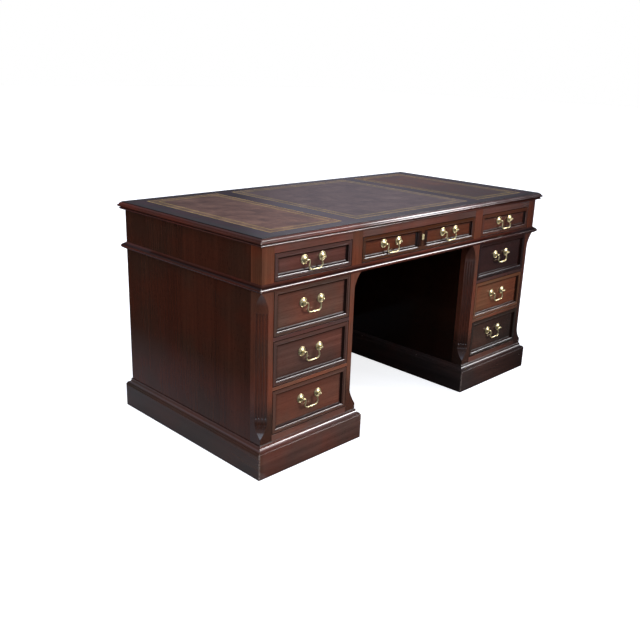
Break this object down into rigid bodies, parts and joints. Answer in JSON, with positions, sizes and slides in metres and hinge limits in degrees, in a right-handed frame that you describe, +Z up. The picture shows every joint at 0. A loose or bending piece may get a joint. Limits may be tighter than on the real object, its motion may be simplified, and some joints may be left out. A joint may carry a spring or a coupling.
{
  "type": "pedestal desk",
  "caption": "Kneehole pedestal desk in dark mahogany with fluted corners, leather writing surfaces, drawers in both pedestals and brass bail handles",
  "frame": {"origin": "on the floor under the middle of the desk", "axes": "+X along the desk to the sitter's right, -Y out of the drawer fronts towards the sitter, +Z up"},
  "size_m": [1.524, 0.762, 0.762],
  "materials": {
    "case_mahogany": "dark red-brown French polish",
    "top_mahogany": "dark red-brown French polish",
    "moulding_mahogany": "dark red-brown French polish",
    "frame_mahogany": "warm red-brown French polish",
    "front_mahogany": "warm red-brown French polish",
    "plinth_mahogany": "dark brown polish, lightly worn",
    "drawer_wood": "plain waxed",
    "leather": "mottled brown hide with gilt lines",
    "brass": "polished and lacquered",
    "lock_brass": "plain filed"
  },
  "bodies": {
    "desk": {"top_board": "top_mahogany", "top_edge_moulding": "moulding_mahogany", "leather_left": "leather", "leather_centre": "leather", "leather_right": "leather", "frieze_case": "case_mahogany", "frieze_stiles": "frame_mahogany", "frieze_rails": "frame_mahogany", "frieze_runners": "drawer_wood", "waist_moulding": "moulding_mahogany", "modesty_panel": "case_mahogany", "left_case": "case_mahogany", "left_posts": "frame_mahogany", "left_rails": "frame_mahogany", "left_runners": "drawer_wood", "left_plinth": "plinth_mahogany", "right_case": "case_mahogany", "right_posts": "frame_mahogany", "right_rails": "frame_mahogany", "right_runners": "drawer_wood", "right_plinth": "plinth_mahogany"},
    "frieze_left_drawer": {"frieze_left_front": "front_mahogany", "frieze_left_box": "drawer_wood", "frieze_left_plates": "brass"},
    "frieze_left_bail": {"frieze_left_bail": "brass"},
    "frieze_right_drawer": {"frieze_right_front": "front_mahogany", "frieze_right_box": "drawer_wood", "frieze_right_plates": "brass"},
    "frieze_right_bail": {"frieze_right_bail": "brass"},
    "frieze_centre_drawer": {"frieze_centre_front": "front_mahogany", "frieze_centre_box": "drawer_wood", "frieze_centre_plates": "brass", "lock_case": "lock_brass"},
    "centre_left_bail": {"centre_left_bail": "brass"},
    "centre_right_bail": {"centre_right_bail": "brass"},
    "lock_bolt": {"lock_bolt": "lock_brass"},
    "left_lower_drawer": {"left_lower_front": "front_mahogany", "left_lower_box": "drawer_wood", "left_lower_plates": "brass"},
    "left_lower_bail": {"left_lower_bail": "brass"},
    "left_middle_drawer": {"left_middle_front": "front_mahogany", "left_middle_box": "drawer_wood", "left_middle_plates": "brass"},
    "left_middle_bail": {"left_middle_bail": "brass"},
    "left_upper_drawer": {"left_upper_front": "front_mahogany", "left_upper_box": "drawer_wood", "left_upper_plates": "brass"},
    "left_upper_bail": {"left_upper_bail": "brass"},
    "right_lower_drawer": {"right_lower_front": "front_mahogany", "right_lower_box": "drawer_wood", "right_lower_plates": "brass"},
    "right_lower_bail": {"right_lower_bail": "brass"},
    "right_middle_drawer": {"right_middle_front": "front_mahogany", "right_middle_box": "drawer_wood", "right_middle_plates": "brass"},
    "right_middle_bail": {"right_middle_bail": "brass"},
    "right_upper_drawer": {"right_upper_front": "front_mahogany", "right_upper_box": "drawer_wood", "right_upper_plates": "brass"},
    "right_upper_bail": {"right_upper_bail": "brass"}
  },
  "joints": [
    {"name": "frieze_left_drawer_slide", "type": "slide", "parent": "desk", "child": "frieze_left_drawer", "axis": [0, -1, 0], "range_m": [0, 0.42]},
    {"name": "frieze_left_bail_swing", "type": "hinge", "parent": "frieze_left_drawer", "child": "frieze_left_bail", "pos_m": [-0.5285, -0.3655, 0.672], "axis": [-1, 0, 0], "range_deg": [-3, 100]},
    {"name": "frieze_right_drawer_slide", "type": "slide", "parent": "desk", "child": "frieze_right_drawer", "axis": [0, -1, 0], "range_m": [0, 0.42]},
    {"name": "frieze_right_bail_swing", "type": "hinge", "parent": "frieze_right_drawer", "child": "frieze_right_bail", "pos_m": [0.5285, -0.3655, 0.672], "axis": [-1, 0, 0], "range_deg": [-3, 100]},
    {"name": "frieze_centre_drawer_slide", "type": "slide", "parent": "desk", "child": "frieze_centre_drawer", "axis": [0, -1, 0], "range_m": [0, 0.42]},
    {"name": "centre_left_bail_swing", "type": "hinge", "parent": "frieze_centre_drawer", "child": "centre_left_bail", "pos_m": [-0.16275, -0.3655, 0.672], "axis": [-1, 0, 0], "range_deg": [-3, 100]},
    {"name": "centre_right_bail_swing", "type": "hinge", "parent": "frieze_centre_drawer", "child": "centre_right_bail", "pos_m": [0.16275, -0.3655, 0.672], "axis": [-1, 0, 0], "range_deg": [-3, 100]},
    {"name": "lock_bolt_throw", "type": "slide", "parent": "frieze_centre_drawer", "child": "lock_bolt", "axis": [0, 0, 1], "range_m": [0, 0.008]},
    {"name": "left_lower_drawer_slide", "type": "slide", "parent": "desk", "child": "left_lower_drawer", "axis": [0, -1, 0], "range_m": [0, 0.42]},
    {"name": "left_lower_bail_swing", "type": "hinge", "parent": "left_lower_drawer", "child": "left_lower_bail", "pos_m": [-0.5285, -0.3655, 0.21567], "axis": [-1, 0, 0], "range_deg": [-15, 100]},
    {"name": "left_middle_drawer_slide", "type": "slide", "parent": "desk", "child": "left_middle_drawer", "axis": [0, -1, 0], "range_m": [0, 0.42]},
    {"name": "left_middle_bail_swing", "type": "hinge", "parent": "left_middle_drawer", "child": "left_middle_bail", "pos_m": [-0.5285, -0.3655, 0.376], "axis": [-1, 0, 0], "range_deg": [-15, 100]},
    {"name": "left_upper_drawer_slide", "type": "slide", "parent": "desk", "child": "left_upper_drawer", "axis": [0, -1, 0], "range_m": [0, 0.42]},
    {"name": "left_upper_bail_swing", "type": "hinge", "parent": "left_upper_drawer", "child": "left_upper_bail", "pos_m": [-0.5285, -0.3655, 0.53633], "axis": [-1, 0, 0], "range_deg": [-15, 100]},
    {"name": "right_lower_drawer_slide", "type": "slide", "parent": "desk", "child": "right_lower_drawer", "axis": [0, -1, 0], "range_m": [0, 0.42]},
    {"name": "right_lower_bail_swing", "type": "hinge", "parent": "right_lower_drawer", "child": "right_lower_bail", "pos_m": [0.5285, -0.3655, 0.21567], "axis": [-1, 0, 0], "range_deg": [-15, 100]},
    {"name": "right_middle_drawer_slide", "type": "slide", "parent": "desk", "child": "right_middle_drawer", "axis": [0, -1, 0], "range_m": [0, 0.42]},
    {"name": "right_middle_bail_swing", "type": "hinge", "parent": "right_middle_drawer", "child": "right_middle_bail", "pos_m": [0.5285, -0.3655, 0.376], "axis": [-1, 0, 0], "range_deg": [-15, 100]},
    {"name": "right_upper_drawer_slide", "type": "slide", "parent": "desk", "child": "right_upper_drawer", "axis": [0, -1, 0], "range_m": [0, 0.42]},
    {"name": "right_upper_bail_swing", "type": "hinge", "parent": "right_upper_drawer", "child": "right_upper_bail", "pos_m": [0.5285, -0.3655, 0.53633], "axis": [-1, 0, 0], "range_deg": [-15, 100]}
  ]
}
